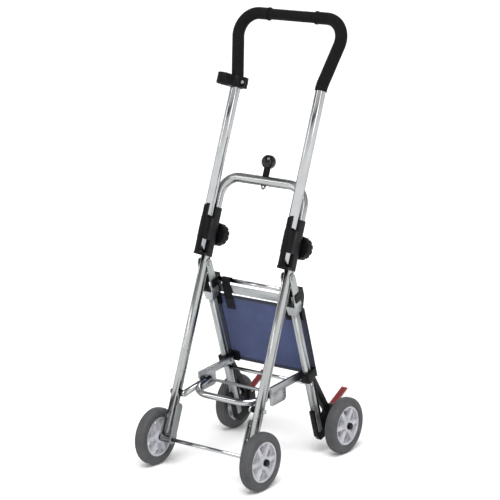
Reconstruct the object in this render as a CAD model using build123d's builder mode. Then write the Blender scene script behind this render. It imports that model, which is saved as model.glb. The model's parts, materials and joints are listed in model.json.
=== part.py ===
"""Folding shopping trolley frame on four wheels, millimetres.

X runs across the trolley (right is +X), the front wheels are toward -Y, Z is up.
The origin is on the floor, midway between the front and rear axles.
"""
import math
import os

from build123d import *

os.makedirs("parts", exist_ok=True)

# ---- driving dimensions ------------------------------------------------------
wheel_diameter = 125.0
tyre_width = 26.0
hub_diameter = 87.0
hub_rim_width = 20.0
hub_rim_wall = 4.0
hub_boss_diameter = 27.0
hub_boss_width = 26.0
hub_spokes = 6
hub_spoke_width = 9.0
hub_web = 5.0
axle_diameter = 8.0
wheelbase = 300.0
front_track = 278.0
rear_track = 298.0

lean_angle = 20.8             # front legs lean back from the vertical
rear_angle = 18.0             # rear legs slope back going down
frame_spread = 220.0          # between the leg centre lines
frame_tube_diameter = 21.0
frame_tube_wall = 1.5
leg_low = 12.0                # lower end of the front legs, above the axle, along the lean
arch_reach = 582.0            # axle to the top of the arch, along the lean
arch_corner_radius = 45.0

handle_tube_diameter = 22.0
handle_tube_wall = 1.5
handle_offset = 25.0          # handle tubes run this far in front of the legs
handle_low = 406.0
flare_reach = 795.0           # where the handle tubes start to spread
handle_reach = 940.0          # axle to the cross bar of the handle, along the lean
flare_spread = 35.0           # each side, at the height of the cross bar
flare_radius = 60.0
handle_corner_radius = 45.0
grip_diameter = 26.4
grip_flange_diameter = 29.0
grip_flange_width = 4.0
grip_half_gap = 60.0          # half the length of the slim middle grip
middle_grip_diameter = 23.8
grip_low = 784.0              # lower ends of the side grips, along the lean

bracket_low = 402.0
bracket_high = 510.0
window_low = 436.0            # the bracket wraps the handle tube fully between the windows
window_high = 484.0
bracket_wall = 2.4
bracket_rim = 5.0
bracket_strip = 9.0           # strip in front of the handle tube beside the windows
knob_reach = 455.0
knob_diameter = 50.0
knob_depth = 20.0
knob_lobes = 12
knob_lobe_depth = 1.6
knob_boss_diameter = 22.0
stud_diameter = 8.0

hinge_reach = 388.0           # rear leg hinge on the front leg, along the lean
hinge_pin_diameter = 6.0
rear_leg_depth = 20.0         # flat oval tube, long way front to back
rear_leg_width = 14.0
rear_leg_wall = 1.5
rear_leg_start = 72.0         # distances along the rear leg, from the hinge
rear_leg_end = 390.0
fork_plate = 2.2
fork_socket_start = 68.0
fork_socket_end = 88.0
fork_depth = 23.0
fork_foot_width = 17.4
fork_eye_radius = 9.0
block_place = 247.0
block_height = 24.0
cross_rod_place = 268.0
cross_rod_diameter = 8.0

shelf_pivot_reach = 102.0     # shelf pivot on the front leg, along the lean
shelf_tube_diameter = 14.0
shelf_half_width = 84.0
shelf_corner_radius = 45.0
shelf_bar_setback = 15.0      # shelf front bar sits behind the shelf pivot
shelf_mid_y = -28.0           # middle hinge of the shelf
shelf_mid_z = 172.0
shelf_arm_slope = 4.0         # the arms drop to the front by this angle
shelf_arm_width = 6.0
shelf_arm_height = 16.0
shelf_arm_overlap = 26.0
shelf_rod_diameter = 7.0
shelf_plate = 3.0

ball_diameter = 32.0
ball_reach = 624.0
ball_stem_diameter = 14.5

bag_bar_diameter = 9.0
bag_bar_place = 52.0
bag_bar_setback = 24.5        # behind the rear legs' centre plane
stay_place = 73.0
stay_height = 20.0
stay_thickness = 3.0
panel_setback = 20.0          # behind the rear legs' centre plane
panel_half_width = 121.0
panel_start = 86.0
panel_end = 260.0
panel_thickness = 3.0
strap_place = 79.0
strap_width = 22.0
strap_thickness = 1.6
strap_end = 122.0

wheel_bracket_width = 11.0
wheel_bracket_boss_width = 22.0
axle_boss_diameter = 26.0
pedal_pivot_back = -2.0       # pedal pivot, behind and above the rear axle
pedal_pivot_up = 33.0
pedal_length = 70.0
pedal_width = 14.0
pedal_thickness = 5.0
pedal_angle = 26.0
pedal_pin_diameter = 5.0

slide_clearance = 0.3
fit_clearance = 0.08
swing_clearance = 0.4

# ---- small details -----------------------------------------------------------
boss_sink = 1.5               # knob boss into the slide bracket
knob_cover = 6.0              # knob left solid past the end of its stud
stud_slot_height = 16.0
shoe_width = 11.0
shoe_height = 15.0
spacer_high = 14.0            # spacers of the front fitting, below its top
spacer_low = 44.0
axle_short = 2.0              # axle ends inside the caps
cap_rounding = 2.5
stem_entry = 2.5              # stem into the ball
ball_nut_radius = 6.0
ball_nut_height = 6.0
washer_rim = 2.5
washer_half = 1.2

# ---- places worked out from the dimensions -----------------------------------
SIDES = (("left", -1), ("right", 1))
wheel_radius = wheel_diameter / 2
half_spread = frame_spread / 2
leg_radius = frame_tube_diameter / 2
tube_radius = handle_tube_diameter / 2
front_y = -wheelbase / 2
rear_y = wheelbase / 2
lean_sin = math.sin(math.radians(lean_angle))
lean_cos = math.cos(math.radians(lean_angle))
rear_sin = math.sin(math.radians(rear_angle))
rear_cos = math.cos(math.radians(rear_angle))

# plane of the front legs and arch: X across, Y up the lean, Z to the front
frame_plane = Plane(
    origin=(0, front_y, wheel_radius), x_dir=(1, 0, 0), z_dir=(0, -lean_cos, lean_sin)
)
handle_plane = frame_plane.offset(handle_offset)


def lean_point(reach, forward=0.0):
    """Y and Z of a point up the lean, and this far in front of the legs."""
    y = front_y + reach * lean_sin - forward * lean_cos
    z = wheel_radius + reach * lean_cos + forward * lean_sin
    return y, z


def lean_section(x, reach):
    """Plane across the front leg: local X across, local Y to the rear, Z up the lean."""
    y, z = lean_point(reach)
    return Plane(origin=(x, y, z), x_dir=(1, 0, 0), z_dir=(0, lean_sin, lean_cos))


hinge_y, hinge_z = lean_point(hinge_reach)


def rear_point(place, back=0.0):
    """Y and Z of a point this far down the rear leg and this far behind it."""
    y = hinge_y + place * rear_sin + back * rear_cos
    z = hinge_z - place * rear_cos + back * rear_sin
    return y, z


def rear_section(x, place):
    """Plane across the rear leg: local X across, local Y to the rear, Z up the leg."""
    y, z = rear_point(place)
    return Plane(origin=(x, y, z), x_dir=(1, 0, 0), z_dir=(0, -rear_sin, rear_cos))


# plane of the rear legs: X across, Y up the legs, Z to the front
rear_plane = Plane(
    origin=(0, hinge_y, hinge_z), x_dir=(1, 0, 0), z_dir=(0, -rear_cos, -rear_sin)
)


def across(x):
    """Plane square to X at this place: local X is Y, local Y is Z."""
    return Plane.YZ.offset(x)


def save(part, name):
    part.label = name
    export_step(part, f"parts/{name}.step")


# ---- front frame -------------------------------------------------------------
shelf_pivot_y, shelf_pivot_z = lean_point(shelf_pivot_reach)

with BuildPart() as front_frame_tube:
    with BuildLine(frame_plane) as frame_path:
        FilletPolyline(
            (-half_spread, leg_low),
            (-half_spread, arch_reach),
            (half_spread, arch_reach),
            (half_spread, leg_low),
            radius=arch_corner_radius,
        )
    with BuildSketch(lean_section(-half_spread, leg_low)):
        Circle(leg_radius)
        Circle(leg_radius - frame_tube_wall, mode=Mode.SUBTRACT)
    sweep(path=frame_path.line)
    with BuildSketch(frame_plane):
        with Locations((-half_spread, knob_reach), (half_spread, knob_reach)):
            Circle(stud_diameter / 2 + slide_clearance)
    extrude(amount=frame_tube_diameter, both=True, mode=Mode.SUBTRACT)
    with BuildSketch(Plane.YZ):
        with Locations((hinge_y, hinge_z), (shelf_pivot_y, shelf_pivot_z)):
            Circle(hinge_pin_diameter / 2 + fit_clearance)
    extrude(amount=frame_spread, both=True, mode=Mode.SUBTRACT)
    with BuildSketch(lean_section(0, arch_reach)):
        Circle(axle_diameter / 2 - 1 + fit_clearance)
    extrude(amount=frame_tube_diameter, both=True, mode=Mode.SUBTRACT)
save(front_frame_tube.part, "front_frame_tube")

bracket_depth = leg_radius + bracket_wall
knob_start = bracket_depth + 2.5
shoe_depth = handle_offset - leg_radius - tube_radius - 2 * slide_clearance

for side, sign in SIDES:
    x = sign * half_spread
    with BuildPart() as slide_bracket:
        with BuildSketch(lean_section(x, bracket_low)):
            Circle(leg_radius + bracket_wall)
            with Locations((0, -handle_offset)):
                Circle(tube_radius + bracket_wall)
            with Locations((0, -handle_offset / 2)):
                Rectangle(2 * (leg_radius + bracket_wall), handle_offset)
        extrude(amount=bracket_high - bracket_low)
        with BuildSketch(lean_section(x, bracket_low)):
            Circle(leg_radius + fit_clearance)
            with Locations((0, -handle_offset)):
                Circle(tube_radius + slide_clearance)
        extrude(amount=bracket_high - bracket_low, mode=Mode.SUBTRACT)
        # windows that bare the handle tube below and above the closed middle
        for low, high in ((bracket_low + bracket_rim, window_low), (window_high, bracket_high)):
            side_cut = tube_radius + bracket_wall
            with BuildSketch(lean_section(x, low)):
                cut_middle = bracket_strip / 2 + side_cut / 2
                with Locations((-cut_middle, -handle_offset), (cut_middle, -handle_offset)):
                    Rectangle(side_cut, 2 * side_cut - 2 * bracket_wall)
            extrude(amount=high - low, mode=Mode.SUBTRACT)
        # boss behind the leg that the knob turns against
        boss_plane = Plane(
            origin=lean_section(x, knob_reach).from_local_coords((0, bracket_depth - boss_sink, 0)),
            x_dir=(1, 0, 0), z_dir=(0, lean_cos, -lean_sin),
        )
        with BuildSketch(boss_plane):
            Circle(knob_boss_diameter / 2)
        extrude(amount=knob_start - bracket_depth + 1.5 - swing_clearance)
        with BuildSketch(boss_plane):
            Circle(stud_diameter / 2 + fit_clearance)
        extrude(amount=frame_tube_diameter, both=True, mode=Mode.SUBTRACT)
        # pocket for the clamp shoe between the two tubes
        with BuildSketch(lean_section(x, knob_reach - stud_slot_height / 2)):
            with Locations((0, -handle_offset / 2)):
                Rectangle(12 + 2 * fit_clearance, handle_offset)
        extrude(amount=stud_slot_height, mode=Mode.SUBTRACT)
    save(slide_bracket.part, f"slide_bracket_{side}")

    with BuildPart() as clamp_knob:
        knob_plane = Plane(
            origin=lean_section(x, knob_reach).from_local_coords((0, knob_start, 0)),
            x_dir=(1, 0, 0), z_dir=(0, lean_cos, -lean_sin),
        )
        with BuildSketch(knob_plane):
            Circle(knob_diameter / 2)
            with PolarLocations(knob_diameter / 2 + knob_lobe_depth, knob_lobes):
                Circle(2 * knob_lobe_depth, mode=Mode.SUBTRACT)
        extrude(amount=knob_depth)
        fillet(clamp_knob.faces().sort_by(Axis.Y)[-1].edges(), 2.2)
        with BuildSketch(knob_plane):
            Circle(stud_diameter / 2)
        extrude(amount=knob_depth - knob_cover, mode=Mode.SUBTRACT)
    save(clamp_knob.part, f"clamp_knob_{side}")

    with BuildPart() as clamp_stud:
        with BuildSketch(knob_plane.offset(knob_depth - knob_cover)):
            Circle(stud_diameter / 2)
        stud_length = knob_start + leg_radius + knob_depth - knob_cover
        extrude(amount=-stud_length)
        chamfer(clamp_stud.edges().group_by(Axis.Y)[0], 0.8)
    save(clamp_stud.part, f"clamp_stud_{side}")

with BuildPart() as clamp_shoes:
    for side, sign in SIDES:
        shoe_plane = lean_section(sign * half_spread, knob_reach - shoe_height / 2)
        with BuildSketch(shoe_plane):
            with Locations((0, -leg_radius - slide_clearance - shoe_depth / 2)):
                Rectangle(shoe_width, shoe_depth - slide_clearance)
        extrude(amount=shoe_height)
save(clamp_shoes.part, "clamp_shoes")

fitting_plate = 2.4
fitting_gap = 3.8             # between the leg and the inboard plate
fitting_width = 20.0
fitting_top = 80.0
fitting_strip_width = 13.0    # outboard strip, on the outer face of the leg
fitting_strip_top = 52.0
fitting_barrel_radius = 8.0
spacer_radius = 4.0
fitting_inner = half_spread - leg_radius - fitting_gap
fitting_outer = half_spread + leg_radius + fit_clearance
fitting_end = fitting_outer + fitting_plate

for side, sign in SIDES:
    x = sign * half_spread
    with BuildPart() as front_leg_fitting:
        # wide inboard plate and narrow outboard strip, both down to the axle
        for place, width, top in (
            (fitting_inner - fitting_plate / 2, fitting_width, fitting_top),
            (fitting_outer + fitting_plate / 2, fitting_strip_width, fitting_strip_top),
        ):
            with BuildSketch(across(sign * place)):
                with Locations(Location((*lean_point((top - width / 2) / 2), 0), -lean_angle)):
                    RectangleRounded(width, top + width / 2, width / 2 - 0.5)
            extrude(amount=fitting_plate / 2, both=True)
        # spacers between the inboard plate and the leg
        with BuildSketch(across(sign * fitting_inner)):
            with Locations(lean_point(fitting_top - spacer_high), lean_point(fitting_top - spacer_low)):
                Circle(spacer_radius)
        extrude(amount=sign * (fitting_gap + leg_radius / 2))
        with BuildSketch(lean_section(x, leg_low)):
            Circle(leg_radius + fit_clearance)
        extrude(amount=fitting_top, mode=Mode.SUBTRACT)
        # barrel that the axle runs through
        with BuildSketch(across(sign * (fitting_inner - fitting_plate))):
            with Locations((front_y, wheel_radius)):
                Circle(fitting_barrel_radius)
        extrude(amount=sign * (fitting_end - fitting_inner + fitting_plate))
        with BuildSketch(across(x)):
            with Locations((front_y, wheel_radius)):
                Circle(axle_diameter / 2 + fit_clearance)
        extrude(amount=2 * leg_radius, both=True, mode=Mode.SUBTRACT)
    save(front_leg_fitting.part, f"front_leg_fitting_{side}")

leg_plug_length = 14.0
plug_lip = 2.5
with BuildPart() as leg_plugs:
    for side, sign in SIDES:
        with BuildSketch(lean_section(sign * half_spread, leg_low - plug_lip)):
            Circle(leg_radius - fit_clearance)
        extrude(amount=plug_lip)
        with BuildSketch(lean_section(sign * half_spread, leg_low)):
            Circle(leg_radius - frame_tube_wall - fit_clearance)
        extrude(amount=leg_plug_length)
save(leg_plugs.part, "leg_plugs")

front_hub_face = front_track / 2 + hub_boss_width / 2
rear_hub_face = rear_track / 2 + hub_boss_width / 2
nut_depth = 6.5
nut_radius = 7.5
washer_gap = front_track / 2 - hub_boss_width / 2 - fitting_end

with BuildPart() as front_axle:
    with BuildSketch(across(-front_hub_face - nut_depth + axle_short)):
        with Locations((front_y, wheel_radius)):
            Circle(axle_diameter / 2)
    extrude(amount=2 * (front_hub_face + nut_depth - axle_short))
save(front_axle.part, "front_axle")


def outward_plane(start, sign, y):
    """Plane square to an axle, facing away from the trolley."""
    return Plane(origin=(start, y, wheel_radius), x_dir=(0, 1, 0), z_dir=(sign, 0, 0))


with BuildPart() as front_axle_caps:
    for side, sign in SIDES:
        cap_start = sign * (front_hub_face + swing_clearance)
        with BuildSketch(outward_plane(cap_start, sign, front_y)):
            Circle(nut_radius)
        extrude(amount=nut_depth)
        washer_middle = fitting_end + washer_gap / 2
        with BuildSketch(across(sign * washer_middle)):
            with Locations((front_y, wheel_radius)):
                Circle(nut_radius)
        extrude(amount=washer_gap / 2 - swing_clearance, both=True)
    fillet(front_axle_caps.faces().filter_by(Plane.YZ).sort_by(Axis.X)[0].edges(), cap_rounding)
    fillet(front_axle_caps.faces().filter_by(Plane.YZ).sort_by(Axis.X)[-1].edges(), cap_rounding)
    with BuildSketch(Plane.YZ):
        with Locations((front_y, wheel_radius)):
            Circle(axle_diameter / 2)
    extrude(amount=front_hub_face + nut_depth - axle_short, both=True, mode=Mode.SUBTRACT)
save(front_axle_caps.part, "front_axle_caps")

ball_pin_diameter = axle_diameter - 2
nut_drop = 8.0
with BuildPart() as ball_stem:
    stem_start = arch_reach + leg_radius - 1.5
    with BuildSketch(lean_section(0, stem_start)):
        Circle(ball_stem_diameter / 2)
    extrude(amount=ball_reach - stem_start - ball_diameter / 2 + stem_entry)
    with BuildSketch(Plane.YZ):
        with Locations(lean_point(arch_reach)):
            Circle(leg_radius + fit_clearance)
    extrude(amount=ball_stem_diameter, both=True, mode=Mode.SUBTRACT)
    with BuildSketch(lean_section(0, arch_reach - leg_radius - nut_drop)):
        Circle(ball_pin_diameter / 2)
    extrude(amount=ball_reach - arch_reach + leg_radius + nut_drop)
save(ball_stem.part, "ball_stem")

with BuildPart() as ball_knob:
    with Locations(lean_section(0, ball_reach)):
        Sphere(ball_diameter / 2)
    with BuildSketch(lean_section(0, ball_reach - ball_diameter / 2)):
        Circle(ball_stem_diameter / 2)
    extrude(amount=stem_entry, mode=Mode.SUBTRACT)
    with BuildSketch(lean_section(0, ball_reach - ball_diameter / 2)):
        Circle(ball_pin_diameter / 2)
    extrude(amount=ball_diameter / 2, mode=Mode.SUBTRACT)
save(ball_knob.part, "ball_knob")

with BuildPart() as ball_nut:
    nut_start = arch_reach - leg_radius - fit_clearance
    with BuildSketch(lean_section(0, nut_start)):
        RegularPolygon(ball_nut_radius, 6)
        Circle(ball_pin_diameter / 2, mode=Mode.SUBTRACT)
    extrude(amount=-ball_nut_height)
save(ball_nut.part, "ball_nut")

# ---- handle ------------------------------------------------------------------
flare_x = half_spread + flare_spread
handle_points = [
    (-half_spread, handle_low),
    (-half_spread, flare_reach),
    (-flare_x, handle_reach),
    (flare_x, handle_reach),
    (half_spread, flare_reach),
    (half_spread, handle_low),
]
handle_radii = [flare_radius, handle_corner_radius, handle_corner_radius, flare_radius]


def handle_section(x, reach):
    """Plane across a handle tube."""
    return Plane(
        origin=handle_plane.from_local_coords((x, reach, 0)),
        x_dir=(1, 0, 0), z_dir=(0, lean_sin, lean_cos),
    )


with BuildPart() as handle_tube:
    with BuildLine(handle_plane) as handle_path:
        FilletPolyline(*handle_points, radius=handle_radii)
    with BuildSketch(handle_section(-half_spread, handle_low)):
        Circle(tube_radius)
        Circle(tube_radius - handle_tube_wall, mode=Mode.SUBTRACT)
    sweep(path=handle_path.line)
save(handle_tube.part, "handle_tube")

with BuildPart() as handle_plugs:
    for side, sign in SIDES:
        with BuildSketch(handle_section(sign * half_spread, handle_low - plug_lip)):
            Circle(tube_radius - fit_clearance)
        extrude(amount=plug_lip)
        with BuildSketch(handle_section(sign * half_spread, handle_low)):
            Circle(tube_radius - handle_tube_wall - fit_clearance)
        extrude(amount=leg_plug_length)
save(handle_plugs.part, "handle_plugs")

bar_plane = Plane(
    origin=handle_plane.from_local_coords((0, handle_reach, 0)),
    x_dir=(0, lean_sin, lean_cos), z_dir=(1, 0, 0),
)

for side, sign in SIDES:
    with BuildPart() as grip:
        with BuildLine(handle_plane) as grip_path:
            FilletPolyline(
                (sign * grip_half_gap, handle_reach),
                (sign * flare_x, handle_reach),
                (sign * half_spread, flare_reach),
                (sign * half_spread, grip_low),
                radius=[handle_corner_radius, flare_radius],
            )
        with BuildSketch(Plane(origin=grip_path.line @ 0, z_dir=grip_path.line % 0)):
            Circle(grip_diameter / 2)
            Circle(tube_radius + fit_clearance, mode=Mode.SUBTRACT)
        sweep(path=grip_path.line)
        # flange beside the middle grip
        with BuildSketch(bar_plane.offset(sign * grip_half_gap)):
            Circle(grip_flange_diameter / 2)
            Circle(tube_radius + fit_clearance, mode=Mode.SUBTRACT)
        extrude(amount=sign * grip_flange_width)
    save(grip.part, f"grip_{side}")

with BuildPart() as grip_middle:
    with BuildSketch(bar_plane.offset(-grip_half_gap + fit_clearance)):
        Circle(middle_grip_diameter / 2)
        Circle(tube_radius + fit_clearance, mode=Mode.SUBTRACT)
    extrude(amount=2 * (grip_half_gap - fit_clearance))
save(grip_middle.part, "grip_middle")

# cane and umbrella holder clamped on the left handle tube and the end of its grip
holder_low = 772.0
holder_height = 24.0
holder_wall = 2.5
holder_grip_gap = 0.8
cup_bore = 26.0
cup_wall = 2.6
cup_turn = 61.0                 # the cup stands this far from the side to the front
lug_length = 9.0
lug_depth = 13.0
lug_slit = 2.4
holder_screw_diameter = 4.0
screw_head_radius = 3.8
screw_head_height = 2.8
holder_radius = grip_diameter / 2 + holder_grip_gap + holder_wall
cup_distance = holder_radius + cup_bore / 2 + 1
cup_x = -cup_distance * math.cos(math.radians(cup_turn))
cup_y = -cup_distance * math.sin(math.radians(cup_turn))
web_width = 2 * holder_radius - 8
lug_end = holder_radius + lug_length

with BuildPart() as cane_holder:
    with BuildSketch(handle_section(-half_spread, holder_low)):
        Circle(holder_radius)
        with Locations((cup_x, cup_y)):
            Circle(cup_bore / 2 + cup_wall)
        with Locations((cup_x / 2, cup_y / 2)):
            Rectangle(cup_distance, web_width, rotation=cup_turn)
        with Locations((lug_end / 2, 0)):
            Rectangle(lug_end, lug_depth)
    extrude(amount=holder_height)
    with BuildSketch(handle_section(-half_spread, holder_low)):
        Circle(tube_radius + fit_clearance)
        with Locations((cup_x, cup_y)):
            Circle(cup_bore / 2)
        with Locations((tube_radius + lug_end / 2, 0)):
            Rectangle(lug_end, lug_slit)
    extrude(amount=holder_height, mode=Mode.SUBTRACT)
    with BuildSketch(handle_section(-half_spread, grip_low)):
        Circle(grip_diameter / 2 + holder_grip_gap)
    extrude(amount=holder_height, mode=Mode.SUBTRACT)
    lug_middle = -half_spread + (holder_radius + lug_end) / 2
    screw_height = holder_low + holder_height / 2
    with BuildSketch(handle_plane):
        with Locations((lug_middle, screw_height)):
            Circle(holder_screw_diameter / 2 + fit_clearance)
    extrude(amount=lug_depth, both=True, mode=Mode.SUBTRACT)
save(cane_holder.part, "cane_holder")

with BuildPart() as cane_holder_screw:
    with BuildSketch(handle_plane):
        with Locations((lug_middle, screw_height)):
            Circle(holder_screw_diameter / 2)
    extrude(amount=lug_depth / 2 + screw_head_height, both=True)
    with BuildSketch(handle_plane.offset(lug_depth / 2)):
        with Locations((lug_middle, screw_height)):
            Circle(screw_head_radius)
    extrude(amount=screw_head_height)
    with BuildSketch(handle_plane.offset(-lug_depth / 2)):
        with Locations((lug_middle, screw_height)):
            RegularPolygon(screw_head_radius, 6)
    extrude(amount=-screw_head_height)
save(cane_holder_screw.part, "cane_holder_screw")

# ---- rear legs and what they carry -------------------------------------------
fork_half = leg_radius + swing_clearance + fork_plate

for side, sign in SIDES:
    x = sign * half_spread
    with BuildPart() as rear_leg:
        with BuildSketch(rear_section(x, rear_leg_end)):
            SlotOverall(rear_leg_depth, rear_leg_width, rotation=90)
            SlotOverall(
                rear_leg_depth - 2 * rear_leg_wall, rear_leg_width - 2 * rear_leg_wall,
                rotation=90, mode=Mode.SUBTRACT,
            )
        extrude(amount=rear_leg_end - rear_leg_start)
        with BuildSketch(across(0)):
            with Locations(rear_point(cross_rod_place)):
                Circle(cross_rod_diameter / 2 + fit_clearance)
        extrude(amount=frame_spread, both=True, mode=Mode.SUBTRACT)
    save(rear_leg.part, f"rear_leg_{side}")

    with BuildPart() as rear_leg_fork:
        # cheeks either side of the front leg
        for cheek in (-1, 1):
            middle = x + cheek * (fork_half - fork_plate / 2)
            with BuildSketch(across(middle)):
                with BuildLine():
                    Polyline(
                        rear_point(0, -fork_eye_radius), rear_point(0, fork_eye_radius),
                        rear_point(fork_socket_start + 1, fork_depth / 2),
                        rear_point(fork_socket_start + 1, -fork_depth / 2),
                        close=True,
                    )
                make_face()
                with Locations((hinge_y, hinge_z)):
                    Circle(fork_eye_radius)
                    Circle(hinge_pin_diameter / 2 + fit_clearance, mode=Mode.SUBTRACT)
            extrude(amount=fork_plate / 2, both=True)
        # tapering socket that holds the flat leg tube
        with BuildSketch(rear_section(x, fork_socket_start)):
            Rectangle(2 * fork_half, fork_depth)
        with BuildSketch(rear_section(x, fork_socket_end)):
            Rectangle(fork_foot_width, fork_depth)
        loft()
        with BuildSketch(rear_section(x, rear_leg_start)):
            SlotOverall(
                rear_leg_depth + 2 * fit_clearance, rear_leg_width + 2 * fit_clearance,
                rotation=90,
            )
        extrude(amount=-rear_leg_start, mode=Mode.SUBTRACT)
    save(rear_leg_fork.part, f"rear_leg_fork_{side}")

with BuildPart() as leg_hinge_pins:
    for side, sign in SIDES:
        x = sign * half_spread
        with BuildSketch(across(x)):
            with Locations((hinge_y, hinge_z)):
                Circle(hinge_pin_diameter / 2)
        extrude(amount=fork_half + 2, both=True)
        for end in (-1, 1):
            with BuildSketch(across(x + end * (fork_half + fit_clearance + washer_half))):
                with Locations((hinge_y, hinge_z)):
                    Circle(hinge_pin_diameter / 2 + washer_rim)
            extrude(amount=washer_half, both=True)
save(leg_hinge_pins.part, "leg_hinge_pins")

block_inner = half_spread - 11.3
block_outer = half_spread + 11.5
block_skin = 4.0
block_middle = (block_inner + block_outer) / 2
block_width = block_outer - block_inner
shelf_rear_y, shelf_rear_z = rear_point(block_place)

for side, sign in SIDES:
    x = sign * half_spread
    with BuildPart() as leg_block:
        with BuildSketch(rear_section(sign * block_middle, block_place + block_height / 2)):
            RectangleRounded(block_width, rear_leg_depth + 2 * block_skin, 4)
        extrude(amount=block_height)
        with BuildSketch(rear_section(x, block_place + block_height / 2)):
            SlotOverall(
                rear_leg_depth + 2 * fit_clearance, rear_leg_width + 2 * fit_clearance,
                rotation=90,
            )
        extrude(amount=block_height, mode=Mode.SUBTRACT)
        with BuildSketch(across(0)):
            with Locations((shelf_rear_y, shelf_rear_z)):
                Circle(hinge_pin_diameter / 2 + fit_clearance)
        extrude(amount=x, mode=Mode.SUBTRACT)
    save(leg_block.part, f"leg_block_{side}")

# moulded bracket at the foot of each rear leg, with the axle boss and the pedal ears
pedal_y = rear_y + pedal_pivot_back
pedal_z = wheel_radius + pedal_pivot_up
bracket_foot = 412.0
bracket_cap = 334.0
slit_top = 300.0
slit_bottom = 350.0
strut_start = 262.0
strut_depth = 9.0
foot_skin = 3.0
pedal_hub_radius = 6.5
pedal_ear_radius = 10.5
hub_boss_radius = 8.5
half_depth = rear_leg_depth / 2

for side, sign in SIDES:
    x = sign * half_spread
    with BuildPart() as wheel_bracket:
        with BuildSketch(across(x)):
            with BuildLine():
                Polyline(
                    rear_point(strut_start, half_depth - 1),
                    rear_point(strut_start, half_depth + strut_depth),
                    (pedal_y - 8, pedal_z + 9),
                    (pedal_y + 9, pedal_z + 5),
                    (rear_y + axle_boss_diameter / 2, wheel_radius + 4),
                    (rear_y + axle_boss_diameter / 2 - 3, wheel_radius - 9),
                    (rear_y - 6, wheel_radius - 20),
                    rear_point(bracket_foot, 2),
                    rear_point(bracket_foot, -5),
                    rear_point(bracket_foot - 14, -half_depth - foot_skin),
                    rear_point(bracket_cap, -half_depth - foot_skin),
                    rear_point(bracket_cap, half_depth - 1),
                    close=True,
                )
            make_face()
            # slit between the leg and the rear strut
            with BuildLine():
                Polyline(
                    rear_point(slit_top, half_depth + 3),
                    (pedal_y - 19, pedal_z - 1),
                    (pedal_y - 24, pedal_z - 9),
                    rear_point(slit_bottom, half_depth + 3),
                    close=True,
                )
            make_face(mode=Mode.SUBTRACT)
        extrude(amount=wheel_bracket_width / 2, both=True)
        fillet(wheel_bracket.edges().filter_by(Axis.X), 1.5)
        # thicker boss round the axle and up to the pedal ears
        with BuildSketch(across(x)):
            with Locations((rear_y, wheel_radius)):
                Circle(axle_boss_diameter / 2)
            with Locations((pedal_y, pedal_z)):
                Circle(pedal_ear_radius)
            with BuildLine():
                Polyline(
                    (rear_y - axle_boss_diameter / 2, wheel_radius),
                    (rear_y + axle_boss_diameter / 2, wheel_radius),
                    (pedal_y + pedal_ear_radius, pedal_z),
                    (pedal_y - pedal_ear_radius, pedal_z),
                    close=True,
                )
            make_face()
        extrude(amount=wheel_bracket_boss_width / 2, both=True)
        # socket for the leg
        with BuildSketch(rear_section(x, rear_leg_end + fit_clearance)):
            SlotOverall(
                rear_leg_depth + 2 * fit_clearance, rear_leg_width + 2 * fit_clearance,
                rotation=90,
            )
        extrude(amount=rear_leg_end - rear_leg_start, mode=Mode.SUBTRACT)
        # boss that reaches out to the wheel hub
        boss_reach = rear_track / 2 - hub_boss_width / 2 - swing_clearance - half_spread
        with BuildSketch(outward_plane(x, sign, rear_y)):
            Circle(hub_boss_radius)
        extrude(amount=boss_reach)
        with BuildSketch(outward_plane(x, sign, rear_y)):
            Circle(axle_diameter / 2)
        extrude(amount=2 * boss_reach, both=True, mode=Mode.SUBTRACT)
        # fork for the pedal hub, open to the top and the rear, with its pin hole
        with BuildSketch(across(x)):
            with Locations((pedal_y, pedal_z)):
                Circle(pedal_hub_radius + 2)
            with BuildLine():
                pedal_gap_low = pedal_z - pedal_hub_radius - 2
                Polyline(
                    (pedal_y, pedal_gap_low), (pedal_y + 30, pedal_gap_low),
                    (pedal_y + 30, pedal_z + 30), (pedal_y, pedal_z + 30), close=True,
                )
            make_face()
        extrude(amount=pedal_width / 2 + swing_clearance, both=True, mode=Mode.SUBTRACT)
        with BuildSketch(across(x)):
            with Locations((pedal_y, pedal_z)):
                Circle(pedal_pin_diameter / 2)
        extrude(amount=wheel_bracket_boss_width, both=True, mode=Mode.SUBTRACT)
    save(wheel_bracket.part, f"wheel_bracket_{side}")

    with BuildPart() as brake_pedal:
        pedal_sin = math.sin(math.radians(pedal_angle))
        pedal_cos = math.cos(math.radians(pedal_angle))
        with BuildSketch(across(x)):
            with Locations((pedal_y, pedal_z)):
                Circle(pedal_hub_radius)
            with BuildLine():
                tip_y = pedal_y + pedal_length * pedal_cos
                tip_z = pedal_z + pedal_length * pedal_sin
                thick_y = -pedal_thickness * pedal_sin
                thick_z = pedal_thickness * pedal_cos
                Polyline(
                    (pedal_y + thick_y / 2, pedal_z + thick_z / 2 - 2),
                    (pedal_y - thick_y / 2, pedal_z - thick_z / 2 - 2),
                    (tip_y - thick_y / 2, tip_z - thick_z / 2),
                    (tip_y + thick_y / 2, tip_z + thick_z / 2),
                    close=True,
                )
            make_face()
        extrude(amount=pedal_width / 2, both=True)
        fillet(brake_pedal.edges().filter_by(Axis.X).sort_by(Axis.Y)[-2:], 2)
        with BuildSketch(across(x)):
            with Locations((pedal_y, pedal_z)):
                Circle(pedal_pin_diameter / 2 + fit_clearance)
        extrude(amount=pedal_width, both=True, mode=Mode.SUBTRACT)
    save(brake_pedal.part, f"brake_pedal_{side}")

with BuildPart() as pedal_pins:
    for side, sign in SIDES:
        with BuildSketch(across(sign * half_spread)):
            with Locations((pedal_y, pedal_z)):
                Circle(pedal_pin_diameter / 2)
        extrude(amount=wheel_bracket_boss_width / 2 + 1, both=True)
save(pedal_pins.part, "pedal_pins")

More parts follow.
